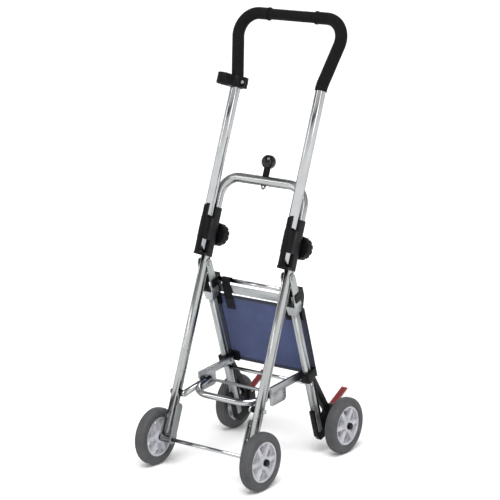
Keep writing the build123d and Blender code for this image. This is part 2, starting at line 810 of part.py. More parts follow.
with BuildPart() as rear_axles:
    for side, sign in SIDES:
        stub_start = half_spread - wheel_bracket_boss_width / 2 - 1.5
        with BuildSketch(outward_plane(sign * stub_start, sign, rear_y)):
            Circle(axle_diameter / 2)
        extrude(amount=rear_hub_face + nut_depth - 2 - stub_start)
save(rear_axles.part, "rear_axles")

with BuildPart() as rear_axle_caps:
    for side, sign in SIDES:
        cap_start = sign * (rear_hub_face + swing_clearance)
        with BuildSketch(outward_plane(cap_start, sign, rear_y)):
            Circle(nut_radius)
        extrude(amount=nut_depth)
    fillet(rear_axle_caps.faces().filter_by(Plane.YZ).sort_by(Axis.X)[0].edges(), cap_rounding)
    fillet(rear_axle_caps.faces().filter_by(Plane.YZ).sort_by(Axis.X)[-1].edges(), cap_rounding)
    with BuildSketch(Plane.YZ):
        with Locations((rear_y, wheel_radius)):
            Circle(axle_diameter / 2)
    extrude(amount=rear_hub_face + nut_depth - axle_short, both=True, mode=Mode.SUBTRACT)
save(rear_axle_caps.part, "rear_axle_caps")

with BuildPart() as rear_cross_rod:
    with BuildSketch(across(0)):
        with Locations(rear_point(cross_rod_place)):
            Circle(cross_rod_diameter / 2)
    extrude(amount=half_spread + rear_leg_width / 2 + 2, both=True)
save(rear_cross_rod.part, "rear_cross_rod")

# bag bar with its hook blocks on the rear faces of the leg forks
hook_width = 18.0
hook_start = 40.0
hook_end = 112.0
hook_arm_end = 58.0
hook_arm_front = 7.0           # the arms reach this far in front of the fork's middle
hook_arm_wall = 2.6
hook_front = fork_depth / 2
hook_back = bag_bar_setback + bag_bar_diameter / 2 + 2.5
bar_socket = 8.0
hook_inner = half_spread - hook_width / 2

with BuildPart() as bag_bar:
    with BuildSketch(across(0)):
        with Locations(rear_point(bag_bar_place, bag_bar_setback)):
            Circle(bag_bar_diameter / 2)
    extrude(amount=hook_inner + bar_socket, both=True)
save(bag_bar.part, "bag_bar")

for side, sign in SIDES:
    with BuildPart() as bag_hook:
        with BuildSketch(across(sign * half_spread)):
            with BuildLine():
                Polyline(
                    rear_point(hook_start, hook_front),
                    rear_point(hook_start, hook_back),
                    rear_point(bag_bar_place + 10, hook_back),
                    rear_point(panel_start - 2, panel_setback - fit_clearance),
                    rear_point(hook_end, panel_setback - fit_clearance),
                    rear_point(hook_end, hook_front),
                    close=True,
                )
            make_face()
        extrude(amount=hook_width / 2, both=True)
        fillet(bag_hook.edges().filter_by(Axis.X), 1.2)
        # two arms that clasp the cheeks of the fork
        for cheek in (-1, 1):
            arm_start = sign * half_spread + cheek * (fork_half + fit_clearance)
            with BuildSketch(across(arm_start)):
                with BuildLine():
                    Polyline(
                        rear_point(hook_start, -hook_arm_front),
                        rear_point(hook_start, hook_front + 6),
                        rear_point(hook_arm_end, hook_front + 6),
                        rear_point(hook_arm_end, -hook_arm_front),
                        close=True,
                    )
                make_face()
            extrude(amount=cheek * hook_arm_wall)
            # shoulder that joins the arm to the block
            with BuildSketch(across(sign * half_spread)):
                with BuildLine():
                    Polyline(
                        rear_point(hook_start, hook_front + fit_clearance),
                        rear_point(hook_start, hook_front + 6),
                        rear_point(hook_arm_end, hook_front + 6),
                        rear_point(hook_arm_end, hook_front + fit_clearance),
                        close=True,
                    )
                make_face()
            extrude(amount=cheek * (fork_half + fit_clearance + hook_arm_wall))
        with BuildSketch(across(sign * hook_inner)):
            with Locations(rear_point(bag_bar_place, bag_bar_setback)):
                Circle(bag_bar_diameter / 2)
        extrude(amount=bar_socket * sign, mode=Mode.SUBTRACT)
    save(bag_hook.part, f"bag_hook_{side}")

with BuildPart() as panel_stay:
    with BuildSketch(rear_plane.offset(-panel_setback)):
        with Locations((0, -stay_place)):
            Rectangle(2 * hook_inner, stay_height)
    extrude(amount=-stay_thickness)
save(panel_stay.part, "panel_stay")

with BuildPart() as back_panel:
    with BuildSketch(rear_plane.offset(-panel_setback)):
        with Locations((0, -(panel_start + panel_end) / 2)):
            RectangleRounded(2 * panel_half_width, panel_end - panel_start, 6)
    extrude(amount=-panel_thickness)
save(back_panel.part, "back_panel")

# clips between the lower corners of the panel and the leg blocks
corner_inner = 85.0
corner_low = panel_end - 2
corner_high = panel_end - 24
corner_front = rear_leg_depth / 2 + block_skin
with BuildPart() as panel_corners:
    for side, sign in SIDES:
        with BuildSketch(rear_plane.offset(-corner_front)):
            corner_x = sign * (corner_inner + panel_half_width - 1) / 2
            with Locations((corner_x, -(corner_low + corner_high) / 2)):
                RectangleRounded(
                    panel_half_width - 1 - corner_inner, corner_low - corner_high, 3
                )
        extrude(amount=-(panel_setback - corner_front))
save(panel_corners.part, "panel_corners")

# webbing straps in front of the stay and the panel, hung from the bag bar
strap_back = panel_setback - swing_clearance
strap_bar_back = bag_bar_setback - bag_bar_diameter / 2 - slide_clearance
with BuildPart() as panel_straps:
    for side, sign in SIDES:
        with BuildSketch(across(sign * strap_place)):
            with BuildLine():
                Polyline(
                    rear_point(bag_bar_place, min(strap_bar_back, strap_back)),
                    rear_point(strap_end, strap_back),
                    rear_point(strap_end, strap_back - strap_thickness),
                    rear_point(bag_bar_place, min(strap_bar_back, strap_back) - strap_thickness),
                    close=True,
                )
            make_face()
        extrude(amount=strap_width / 2, both=True)
save(panel_straps.part, "panel_straps")

# ---- folding shelf -----------------------------------------------------------
shelf_rise = math.degrees(
    math.atan2(shelf_mid_z - shelf_pivot_z, shelf_mid_y - shelf_pivot_y)
)
shelf_length = math.hypot(shelf_mid_y - shelf_pivot_y, shelf_mid_z - shelf_pivot_z)
rise_sin = math.sin(math.radians(shelf_rise))
rise_cos = math.cos(math.radians(shelf_rise))
# plane of the front half: X across, Y from the pivot to the middle hinge
shelf_plane = Plane(
    origin=(0, shelf_pivot_y, shelf_pivot_z), x_dir=(1, 0, 0), z_dir=(0, -rise_sin, rise_cos)
)
shelf_radius = shelf_tube_diameter / 2
lug_outer = shelf_half_width + shelf_radius + 0.6
lug_plate = 5.0


def shelf_point(along, up=0.0):
    """Y and Z of a point along the front half of the shelf."""
    y = shelf_pivot_y + along * rise_cos - up * rise_sin
    z = shelf_pivot_z + along * rise_sin + up * rise_cos
    return y, z


with BuildPart() as shelf_front_frame:
    with BuildLine(shelf_plane) as shelf_path:
        FilletPolyline(
            (-shelf_half_width, shelf_length - 1),
            (-shelf_half_width, shelf_bar_setback),
            (shelf_half_width, shelf_bar_setback),
            (shelf_half_width, shelf_length - 1),
            radius=shelf_corner_radius,
        )
    with BuildSketch(Plane(origin=shelf_path.line @ 0, z_dir=shelf_path.line % 0)):
        Circle(shelf_radius)
    sweep(path=shelf_path.line)
    # lugs from the corners to the pivots on the legs
    for side, sign in SIDES:
        with BuildSketch(across(sign * (lug_outer - lug_plate / 2))):
            with BuildLine():
                Polyline(
                    shelf_point(-1, 7), shelf_point(-1, -7), shelf_point(56, -6),
                    shelf_point(56, 6), close=True,
                )
            make_face()
            with Locations((shelf_pivot_y, shelf_pivot_z)):
                Circle(7)
                Circle(hinge_pin_diameter / 2 + fit_clearance, mode=Mode.SUBTRACT)
        extrude(amount=lug_plate / 2, both=True)
save(shelf_front_frame.part, "shelf_front_frame")

bush_outer = half_spread - leg_radius - 0.2
bush_inner = lug_outer + 0.3
with BuildPart() as shelf_bushes:
    for side, sign in SIDES:
        with BuildSketch(across(sign * (bush_inner + bush_outer) / 2)):
            with Locations((shelf_pivot_y, shelf_pivot_z)):
                Circle(7)
                Circle(hinge_pin_diameter / 2 + fit_clearance, mode=Mode.SUBTRACT)
        extrude(amount=(bush_outer - bush_inner) / 2, both=True)
save(shelf_bushes.part, "shelf_bushes")

with BuildPart() as shelf_pivot_pins:
    for side, sign in SIDES:
        pin_inner = lug_outer - lug_plate - 2
        pin_outer = half_spread + leg_radius + 2
        with BuildSketch(across(sign * (pin_inner + pin_outer) / 2)):
            with Locations((shelf_pivot_y, shelf_pivot_z)):
                Circle(hinge_pin_diameter / 2)
        extrude(amount=(pin_outer - pin_inner) / 2, both=True)
        with BuildSketch(across(sign * (pin_outer + 1))):
            with Locations((shelf_pivot_y, shelf_pivot_z)):
                Circle(hinge_pin_diameter / 2 + 2)
        extrude(amount=1.2, both=True)
save(shelf_pivot_pins.part, "shelf_pivot_pins")

# rear half: two sloping arms on edge, with the middle hinge plates and a cross rod
arm_outer = half_spread - leg_radius - 1.1
arm_middle = arm_outer - shelf_arm_width / 2
arm_inner = arm_outer - shelf_arm_width
arm_front = shelf_rear_y - shelf_mid_y + shelf_arm_overlap
arm_rear = 6.0
plate_depth = 36.0
plate_length = 56.0
rod_inset = 9.0
rod_drop = 24.0
# plane of the rear half: X across, Y forward from its pivot on the rear legs
arm_sin = math.sin(math.radians(shelf_arm_slope))
arm_cos = math.cos(math.radians(shelf_arm_slope))


def arm_point(forward, down=0.0):
    """Y and Z of a point along the arms and this far under their middle line."""
    y = shelf_rear_y - forward * arm_cos + down * arm_sin
    z = shelf_rear_z - forward * arm_sin - down * arm_cos
    return y, z


with BuildPart() as shelf_rear_frame:
    for side, sign in SIDES:
        with BuildSketch(across(sign * arm_middle)):
            arm_place = Location((*arm_point((arm_front - arm_rear) / 2), 0), shelf_arm_slope)
            with Locations(arm_place):
                RectangleRounded(arm_front + arm_rear, shelf_arm_height, 3)
        extrude(amount=shelf_arm_width / 2, both=True)
        with BuildSketch(across(sign * (arm_inner + shelf_plate / 2))):
            plate_place = arm_point(arm_front - plate_length / 2, plate_depth / 2)
            with Locations(Location((*plate_place, 0), shelf_arm_slope)):
                RectangleRounded(plate_length, plate_depth, 8)
        extrude(amount=shelf_plate / 2, both=True)
    with BuildSketch(across(0)):
        with Locations(arm_point(arm_front - plate_length + rod_inset, rod_drop)):
            Circle(shelf_rod_diameter / 2)
    extrude(amount=arm_inner + 1, both=True)
    with BuildSketch(across(0)):
        with Locations((shelf_rear_y, shelf_rear_z), (shelf_mid_y, shelf_mid_z)):
            Circle(hinge_pin_diameter / 2 + fit_clearance)
    extrude(amount=frame_spread, both=True, mode=Mode.SUBTRACT)
save(shelf_rear_frame.part, "shelf_rear_frame")

# rivets of the middle hinge, with their heads on the inner faces of the plates
rivet_head = 1.0
with BuildPart() as shelf_mid_pins:
    for side, sign in SIDES:
        with BuildSketch(across(sign * arm_inner)):
            with Locations((shelf_mid_y, shelf_mid_z)):
                Circle(hinge_pin_diameter / 2)
        extrude(amount=sign * shelf_plate)
        with BuildSketch(across(sign * arm_inner)):
            with Locations((shelf_mid_y, shelf_mid_z)):
                Circle(hinge_pin_diameter / 2 + 2)
        extrude(amount=-sign * rivet_head)
save(shelf_mid_pins.part, "shelf_mid_pins")

with BuildPart() as shelf_rear_pins:
    for side, sign in SIDES:
        rear_pin_outer = half_spread - rear_leg_width / 2
        rear_pin_inner = arm_inner - 2
        with BuildSketch(across(sign * rear_pin_inner)):
            with Locations((shelf_rear_y, shelf_rear_z)):
                Circle(hinge_pin_diameter / 2)
        extrude(amount=sign * (rear_pin_outer - rear_pin_inner))
        with BuildSketch(across(sign * (arm_inner - swing_clearance))):
            with Locations((shelf_rear_y, shelf_rear_z)):
                Circle(hinge_pin_diameter / 2 + 2)
        extrude(amount=-sign * 1.6)
save(shelf_rear_pins.part, "shelf_rear_pins")

# ---- wheels ------------------------------------------------------------------
hub_radius = hub_diameter / 2
boss_radius = hub_boss_diameter / 2
for place, y, track in (("front", front_y, front_track), ("rear", rear_y, rear_track)):
    for side, sign in SIDES:
        x = sign * track / 2
        wheel_plane = Plane(origin=(x, y, wheel_radius), x_dir=(0, 1, 0), z_dir=(1, 0, 0))
        # across the wheel: local X outward from the axle, local Y along it
        profile_plane = Plane(origin=(x, y, wheel_radius), x_dir=(0, 0, 1), z_dir=(0, 1, 0))
        with BuildPart() as tyre:
            with BuildSketch(profile_plane):
                with Locations(((hub_radius + wheel_radius) / 2, 0)):
                    RectangleRounded(
                        wheel_radius - hub_radius - fit_clearance, tyre_width, 6.5
                    )
            revolve(axis=Axis((x, y, wheel_radius), (1, 0, 0)))
            with BuildSketch(wheel_plane):
                Circle(hub_radius + fit_clearance)
            extrude(amount=tyre_width, both=True, mode=Mode.SUBTRACT)
        save(tyre.part, f"tyre_{place}_{side}")

        with BuildPart() as hub:
            with BuildSketch(wheel_plane):
                Circle(hub_radius)
                Circle(hub_radius - hub_rim_wall, mode=Mode.SUBTRACT)
            extrude(amount=hub_rim_width / 2, both=True)
            with BuildSketch(wheel_plane):
                Circle(boss_radius)
            extrude(amount=hub_boss_width / 2, both=True)
            with BuildSketch(wheel_plane):
                spoke_length = hub_radius - boss_radius
                with PolarLocations((hub_radius + boss_radius) / 2 - 1, hub_spokes):
                    Rectangle(spoke_length, hub_spoke_width)
            extrude(amount=hub_rim_width / 2 - 1.5, both=True)
            with BuildSketch(wheel_plane):
                Circle(hub_radius - 1)
            extrude(amount=hub_web / 2, both=True)
            with BuildSketch(wheel_plane):
                with PolarLocations(
                    (hub_radius + boss_radius) / 2 - 1.5, hub_spokes, 180 / hub_spokes
                ):
                    Circle(spoke_length / 2 - 6)
            extrude(amount=hub_boss_width, both=True, mode=Mode.SUBTRACT)
            with BuildSketch(wheel_plane):
                Circle(axle_diameter / 2 + fit_clearance)
            extrude(amount=hub_boss_width, both=True, mode=Mode.SUBTRACT)
        save(hub.part, f"hub_{place}_{side}")
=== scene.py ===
"""Looks of the folding shopping trolley: materials, cloth, webbing, tyres, light and camera.

Metres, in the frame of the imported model: +X right, -Y to the front wheels, +Z up.
"""
import math

import bpy
from mathutils import Matrix, Vector
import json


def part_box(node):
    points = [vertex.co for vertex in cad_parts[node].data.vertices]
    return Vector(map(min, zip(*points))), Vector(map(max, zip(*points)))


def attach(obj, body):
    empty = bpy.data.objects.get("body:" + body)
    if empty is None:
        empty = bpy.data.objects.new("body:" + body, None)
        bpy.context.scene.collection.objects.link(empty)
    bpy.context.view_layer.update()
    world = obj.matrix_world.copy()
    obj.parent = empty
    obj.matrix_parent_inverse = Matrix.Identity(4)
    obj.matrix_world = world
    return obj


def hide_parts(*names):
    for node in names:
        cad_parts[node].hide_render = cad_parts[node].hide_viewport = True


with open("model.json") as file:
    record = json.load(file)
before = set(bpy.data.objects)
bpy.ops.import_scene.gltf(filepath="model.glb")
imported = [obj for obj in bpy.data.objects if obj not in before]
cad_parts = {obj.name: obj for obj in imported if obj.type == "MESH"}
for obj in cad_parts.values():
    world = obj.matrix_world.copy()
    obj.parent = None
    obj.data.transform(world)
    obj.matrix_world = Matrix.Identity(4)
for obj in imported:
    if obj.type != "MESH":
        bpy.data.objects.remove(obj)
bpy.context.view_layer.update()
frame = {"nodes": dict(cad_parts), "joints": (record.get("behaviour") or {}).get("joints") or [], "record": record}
nodes = frame["nodes"]
joints = {joint["name"]: joint for joint in frame["joints"]}

MM = 0.001
ACROSS = Vector((1, 0, 0))

# ---- directions of the trolley ------------------------------------------------
hinge = Vector(joints["frame_fold"]["pos_m"])
shelf_pivot = Vector(joints["shelf_rear_fold"]["pos_m"])
leg_down = (shelf_pivot - hinge).normalized()
leg_back = ACROSS.cross(leg_down).normalized()
if leg_back.y < 0:
    leg_back = -leg_back


def reach_of(node, origin, direction):
    """Least and greatest distance of a CAD node from origin along a direction."""
    places = [(vertex.co - origin).dot(direction) for vertex in nodes[node].data.vertices]
    return min(places), max(places)


def rear_point(x, down, back):
    """Point of the rear legs' plane: across, down the legs and behind them."""
    return hinge + ACROSS * x + leg_down * down + leg_back * back


# ---- material building blocks -------------------------------------------------
class Paint:
    """A Principled material with short ways to add texture nodes."""

    def __init__(self, name, color, roughness, metallic=0.0):
        self.material = bpy.data.materials.new(name)
        self.material.use_nodes = True
        self.tree = self.material.node_tree
        self.shader = self.tree.nodes["Principled BSDF"]
        self.shader.inputs["Base Color"].default_value = (*color, 1)
        self.shader.inputs["Roughness"].default_value = roughness
        self.shader.inputs["Metallic"].default_value = metallic
        self.color = color
        coordinates = self.tree.nodes.new("ShaderNodeTexCoord")
        self.place = coordinates.outputs["Object"]
        self.uv = coordinates.outputs["UV"]
        self.height = None

    def link(self, output, target):
        self.tree.links.new(output, target)

    def scaled(self, scale, place=None):
        mapping = self.tree.nodes.new("ShaderNodeMapping")
        mapping.inputs["Scale"].default_value = scale
        self.link(place or self.place, mapping.inputs["Vector"])
        return mapping.outputs["Vector"]

    def noise(self, scale, detail=2.0, place=None, rough=0.5):
        texture = self.tree.nodes.new("ShaderNodeTexNoise")
        texture.inputs["Scale"].default_value = scale
        texture.inputs["Detail"].default_value = detail
        texture.inputs["Roughness"].default_value = rough
        self.link(place or self.place, texture.inputs["Vector"])
        return texture.outputs["Fac"]

    def pores(self, scale):
        texture = self.tree.nodes.new("ShaderNodeTexVoronoi")
        texture.inputs["Scale"].default_value = scale
        self.link(self.place, texture.inputs["Vector"])
        return texture.outputs["Distance"]

    def bands(self, scale, direction, place=None):
        texture = self.tree.nodes.new("ShaderNodeTexWave")
        texture.bands_direction = direction
        texture.inputs["Scale"].default_value = scale
        texture.inputs["Distortion"].default_value = 0.4
        texture.inputs["Detail"].default_value = 0.0
        self.link(place or self.place, texture.inputs["Vector"])
        return texture.outputs["Fac"]

    def mathed(self, operation, first, second):
        node = self.tree.nodes.new("ShaderNodeMath")
        node.operation = operation
        for socket, value in zip(node.inputs, (first, second)):
            if isinstance(value, (int, float)):
                socket.default_value = value
            else:
                self.link(value, socket)
        return node.outputs["Value"]

    def ramp(self, fac, low, high, start=0.0, end=1.0):
        """Grey or colour ramp between two values."""
        node = self.tree.nodes.new("ShaderNodeValToRGB")
        node.color_ramp.elements[0].position = start
        node.color_ramp.elements[1].position = end
        for element, value in zip(node.color_ramp.elements, (low, high)):
            element.color = (*value, 1) if hasattr(value, "__len__") else (value,) * 3 + (1,)
        self.link(fac, node.inputs["Fac"])
        return node.outputs["Color"]

    def vary_color(self, fac, spread, start=0.3, end=0.7):
        """Colour between darker and lighter than the paint's own."""
        low = [c * (1 - spread) for c in self.color]
        high = [min(c * (1 + spread), 1) for c in self.color]
        self.link(self.ramp(fac, low, high, start, end), self.shader.inputs["Base Color"])

    def vary_roughness(self, fac, low, high):
        self.link(self.ramp(fac, low, high, 0.3, 0.7), self.shader.inputs["Roughness"])

    def bump(self, fac, distance, strength=1.0):
        node = self.tree.nodes.new("ShaderNodeBump")
        node.inputs["Distance"].default_value = distance
        node.inputs["Strength"].default_value = strength
        self.link(fac, node.inputs["Height"])
        if self.height is not None:
            self.link(self.height, node.inputs["Normal"])
        self.height = node.outputs["Normal"]
        self.link(self.height, self.shader.inputs["Normal"])


EDGE_TINT = (0.18, 0.18, 0.19)     # painted dark reflection: metals darken toward their outline
BLACK_SHINE = 0.12                 # specular level of black plastic and foam
CLOTH_SHINE = 0.12
CLOTH_ROUGHNESS = 0.85
LINE_DEPTH = 0.00002
SPARK_DEPTH = 0.00004


def drawn_metal(name, color, roughness, along=(900, 60, 25)):
    """Tube metal: fine lines along the tube, soft smudges and a few dull patches."""
    paint = Paint(name, color, roughness, metallic=1.0)
    # the edge tint paints a dark reflection along the metal's outline
    paint.shader.inputs["Specular Tint"].default_value = (*EDGE_TINT, 1)
    lines = paint.noise(1.0, 3.0, paint.scaled(along))
    smudge = paint.noise(28.0, 4.0)
    paint.vary_color(smudge, 0.05)
    paint.vary_roughness(smudge, roughness * 0.8, roughness * 1.5)
    paint.bump(lines, LINE_DEPTH, 0.5)
    return paint.material


def moulded_plastic(name, color, roughness, grain=1600.0, shine=0.5):
    """Injection moulded plastic: fine spark grain, slight colour and gloss changes."""
    paint = Paint(name, color, roughness)
    paint.shader.inputs["Specular IOR Level"].default_value = shine
    cloud = paint.noise(45.0, 4.0)
    paint.vary_color(cloud, 0.14)
    paint.vary_roughness(paint.noise(130.0, 3.0), roughness * 0.85, roughness * 1.2)
    paint.bump(paint.noise(grain, 2.0), SPARK_DEPTH, 0.7)
    return paint.material


def foam(name):
    """Closed-cell grip foam: pores over a fine grain."""
    paint = Paint(name, (0.004, 0.004, 0.0045), 0.78)
    paint.shader.inputs["Specular IOR Level"].default_value = BLACK_SHINE
    paint.vary_color(paint.noise(60.0, 5.0), 0.35)
    paint.bump(paint.pores(900.0), 0.00022, 0.7)
    paint.bump(paint.noise(2600.0, 2.0), 0.00008, 0.6)
    paint.shader.inputs["Sheen Weight"].default_value = 0.02
    return paint.material


def tyre_rubber():
    """Dark grey solid tyre: dusty, with fine scuffs round the tread."""
    paint = Paint("tyre_rubber", (0.060, 0.061, 0.064), 0.62)
    paint.shader.inputs["Specular IOR Level"].default_value = 0.3
    dust = paint.noise(38.0, 6.0, rough=0.65)
    paint.vary_color(dust, 0.28)
    paint.vary_roughness(dust, 0.52, 0.75)
    paint.bump(paint.noise(700.0, 3.0), 0.00012, 0.8)
    return paint.material


def gloss_ball():
    """Polished ball with the faintest orange peel."""
    paint = Paint("ball_gloss", (0.004, 0.004, 0.005), 0.12)
    paint.vary_roughness(paint.noise(60.0, 3.0), 0.08, 0.16)
    paint.bump(paint.noise(160.0, 1.0), 0.00002, 0.3)
    paint.shader.inputs["Specular IOR Level"].default_value = 0.3
    paint.shader.inputs["Coat Weight"].default_value = 0.2
    paint.shader.inputs["Coat Roughness"].default_value = 0.05
    return paint.material


def woven(name, color, threads, depth, spread, sheen=0.25):
    """Plain weave over the piece's own UV map, which is in metres."""
    paint = Paint(name, color, CLOTH_ROUGHNESS)
    paint.shader.inputs["Specular IOR Level"].default_value = CLOTH_SHINE
    thread_place = paint.scaled((threads, threads, 1), paint.uv)
    warp = paint.bands(1.0, "X", thread_place)
    weft = paint.bands(1.0, "Y", thread_place)
    weave = paint.mathed("MULTIPLY", warp, weft)
    cloud = paint.noise(26.0, 5.0)
    slub = paint.noise(1.0, 2.0, paint.scaled((90, 1400, 1), paint.uv))
    mixed = paint.mathed("ADD", paint.mathed("MULTIPLY", cloud, 0.6),
                         paint.mathed("MULTIPLY", slub, 0.4))
    paint.vary_color(mixed, spread, 0.35, 0.65)
    paint.bump(weave, depth, 0.8)
    paint.bump(slub, depth * 0.6, 0.5)
    paint.shader.inputs["Sheen Weight"].default_value = sheen
    paint.shader.inputs["Sheen Roughness"].default_value = 0.5
    return paint.material


FRAME_METAL = drawn_metal("frame_metal", (0.40, 0.41, 0.41), 0.20)
BRIGHT_METAL = drawn_metal("bright_metal", (0.46, 0.47, 0.48), 0.12)
LEG_METAL = drawn_metal("leg_metal", (0.44, 0.46, 0.46), 0.34)
SHELF_METAL = drawn_metal("shelf_metal", (0.36, 0.37, 0.38), 0.28)
FITTING_METAL = drawn_metal("fitting_metal", (0.28, 0.29, 0.29), 0.38)
FASTENER_METAL = drawn_metal("fastener_metal", (0.42, 0.42, 0.43), 0.30, (300, 300, 300))
GRIP_FOAM = foam("grip_foam")
BALL_GLOSS = gloss_ball()
TYRE_RUBBER = tyre_rubber()
HUB_PLASTIC = moulded_plastic("hub_plastic", (0.44, 0.44, 0.475), 0.42, 1200.0)
PEDAL_PLASTIC = moulded_plastic("pedal_plastic", (0.165, 0.014, 0.018), 0.38)
BLACK_PLASTIC = moulded_plastic("black_plastic", (0.004, 0.004, 0.005), 0.38, shine=BLACK_SHINE)
PANEL_CLOTH = woven("panel_fabric", (0.052, 0.070, 0.170), 520, 0.00022, 0.16)
WEBBING = woven("strap_webbing", (0.007, 0.007, 0.009), 380, 0.00045, 0.3, 0.02)
BINDING = woven("binding_tape", (0.016, 0.020, 0.042), 600, 0.0003, 0.25)
THREAD = woven("stitch_thread", (0.09, 0.10, 0.16), 900, 0.0001, 0.2)

NODE_PAINT = {
    "frame_metal": FRAME_METAL,
    "bright_metal": BRIGHT_METAL,
    "leg_metal": LEG_METAL,
    "shelf_metal": SHELF_METAL,
    "fitting_metal": FITTING_METAL,
    "fastener_metal": FASTENER_METAL,
    "grip_foam": GRIP_FOAM,
    "ball_gloss": BALL_GLOSS,
    "tyre_rubber": TYRE_RUBBER,
    "hub_plastic": HUB_PLASTIC,
    "pedal_plastic": PEDAL_PLASTIC,
    "black_plastic": BLACK_PLASTIC,
    "panel_fabric": PANEL_CLOTH,
    "strap_webbing": WEBBING,
}

# ---- CAD nodes: paint, smooth shading and softened edges ------------------------
SMOOTH_ANGLE = math.radians(35)
BEVEL_SEGMENTS = 2
WELD_DISTANCE = 0.000002
BEVELS = {  # millimetres, by how a node's name starts
    "slide_bracket_": 0.9, "clamp_knob_": 0.8, "cane_holder": 0.8, "front_leg_fitting_": 0.5,
    "rear_leg_fork_": 0.8, "leg_block_": 1.0, "wheel_bracket_": 1.0, "bag_hook_": 0.8,
    "panel_stay": 0.7, "panel_corners": 0.9, "brake_pedal_": 0.9, "hub_": 0.8,
    "shelf_rear_frame": 0.6, "grip_": 0.9, "ball_stem": 0.4, "leg_hinge_pins": 0.5,
    "shelf_pivot_pins": 0.4, "rear_axle_caps": 0.3, "front_axle_caps": 0.3,
}


def soften(node, width):
    """Small bevel, in millimetres, on a node's sharp edges."""
    bevel = nodes[node].modifiers.new("soft_edges", "BEVEL")
    bevel.width = width * MM
    bevel.segments = BEVEL_SEGMENTS
    bevel.limit_method = "ANGLE"
    bevel.angle_limit = SMOOTH_ANGLE
    bevel.use_clamp_overlap = True


def dress_nodes():
    """Give every CAD node its slot's material and softened edges."""
    for part in frame["record"]["subparts"]:
        node = nodes[part["node"]]
        node.data.materials.clear()
        node.data.materials.append(NODE_PAINT[part["material_slot"]])
        weld = node.modifiers.new("weld", "WELD")
        weld.merge_threshold = WELD_DISTANCE
        for start, width in BEVELS.items():
            if part["node"].startswith(start):
                soften(part["node"], width)
        for polygon in node.data.polygons:
            polygon.use_smooth = True
        node.data.set_sharp_from_angle(angle=SMOOTH_ANGLE)


dress_nodes()


# ---- mesh helpers -----------------------------------------------------------------
def add_mesh(name, points, faces, material, body, uvs=None):
    """Smooth mesh that moves with a body and counts to a material slot."""
    mesh = bpy.data.meshes.new(name)
    mesh.from_pydata([tuple(point) for point in points], [], faces)
    if uvs:
        layer = mesh.uv_layers.new(name="UVMap")
        for loop in mesh.loops:
            layer.data[loop.index].uv = uvs[loop.vertex_index]
    for polygon in mesh.polygons:
        polygon.use_smooth = True
    mesh.materials.append(material)
    mesh.validate()
    mesh.update()
    piece = bpy.data.objects.new(name, mesh)
    bpy.context.scene.collection.objects.link(piece)
    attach(piece, body)
    return piece


def tube_faces(rings, around, offset=0):
    """Quads between rings of points, with a face on each end."""
    faces = []
    for ring in range(rings - 1):
        for step in range(around):
            after = (step + 1) % around
            low = offset + ring * around
            faces.append((low + step, low + after, low + around + after, low + around + step))
    faces.append(tuple(offset + step for step in reversed(range(around))))
    faces.append(tuple(offset + (rings - 1) * around + step for step in range(around)))
    return faces


def lathe_faces(rings, around):
    """Quads of a closed profile turned all the way round."""
    faces = []
    for ring in range(rings):
        for step in range(around):
            after = (step + 1) % around
            low = ring * around
            high = ((ring + 1) % rings) * around
            faces.append((low + step, low + after, high + after, high + step))
    return faces


# ---- back panel -------------------------------------------------------------------
REAR_BODY = "rear_frame"
panel_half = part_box("back_panel")[1][0]
panel_top, panel_bottom = reach_of("back_panel", hinge, leg_down)
panel_front, panel_rear = reach_of("back_panel", hinge, leg_back)
panel_middle = (panel_front + panel_rear) / 2
panel_length = panel_bottom - panel_top
cloth_half_thickness = 0.55 * MM
panel_edge_inset = 1.6 * MM
panel_columns = 96
panel_rows = 72
side_tape = 13 * MM
edge_tape_width = 9 * MM
tape_lift = 1.0 * MM
tape_stations = 60
stitch_pitch = 3.4 * MM
stitch_place = 0.80               # share of the tape's width, from the edge
stitch_length = 2.3 * MM
stitch_radius = 0.28 * MM


def panel_wave(across, down):
    """How far the cloth stands behind its flat place: slack, pulls at the straps, ripples."""
    u = across * 2 - 1
    slack = 2.6 * (1 - u * u) * math.sin(math.pi * min(down * 1.1, 1))
    pull = sum(
        1.1 * math.exp(-((u - side * 0.65) / 0.16) ** 2) * math.exp(-down * 5)
        for side in (-1, 1)
    )
    ripple = 0.35 * math.sin(7.5 * u + 2.2 * down) * math.sin(math.pi * down)
    fold = 0.30 * math.sin(11 * down + 3 * u) * (1 - u * u)
    corner = 0.8 * abs(u) ** 6 * down ** 4
    return (slack - pull + ripple + fold - corner) * MM


def panel_point(across, down, lift=0.0):
    """Point on the cloth: across and down from 0 to 1, lift toward the front."""
    x = (across * 2 - 1) * (panel_half - panel_edge_inset)
    along = panel_top + panel_edge_inset + down * (panel_length - 2 * panel_edge_inset)
    return rear_point(x, along, panel_middle + panel_wave(across, down) - lift)


def build_panel():
    """Cloth with a front, a back and a rim, in place of the flat CAD panel."""
    points, uvs = [], []
    for side in (1, -1):
        for row in range(panel_rows + 1):
            for column in range(panel_columns + 1):
                across, down = column / panel_columns, row / panel_rows
                points.append(panel_point(across, down, side * cloth_half_thickness))
                uvs.append((across * 2 * panel_half, down * panel_length))
    width = panel_columns + 1
    count = width * (panel_rows + 1)
    faces = []
    for row in range(panel_rows):
        for column in range(panel_columns):
            corner = row * width + column
            front = (corner, corner + width, corner + width + 1, corner + 1)
            faces.append(front)
            faces.append(tuple(count + index for index in reversed(front)))
    rim = list(range(width))
    rim += [row * width + panel_columns for row in range(1, panel_rows + 1)]
    rim += [panel_rows * width + column for column in reversed(range(panel_columns))]
    rim += [row * width for row in reversed(range(1, panel_rows))]
    for first, second in zip(rim, rim[1:] + rim[:1]):
        faces.append((first, second, count + second, count + first))
    piece = add_mesh("panel_cloth", points, faces, PANEL_CLOTH, REAR_BODY, uvs)
    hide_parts("back_panel")
    return piece


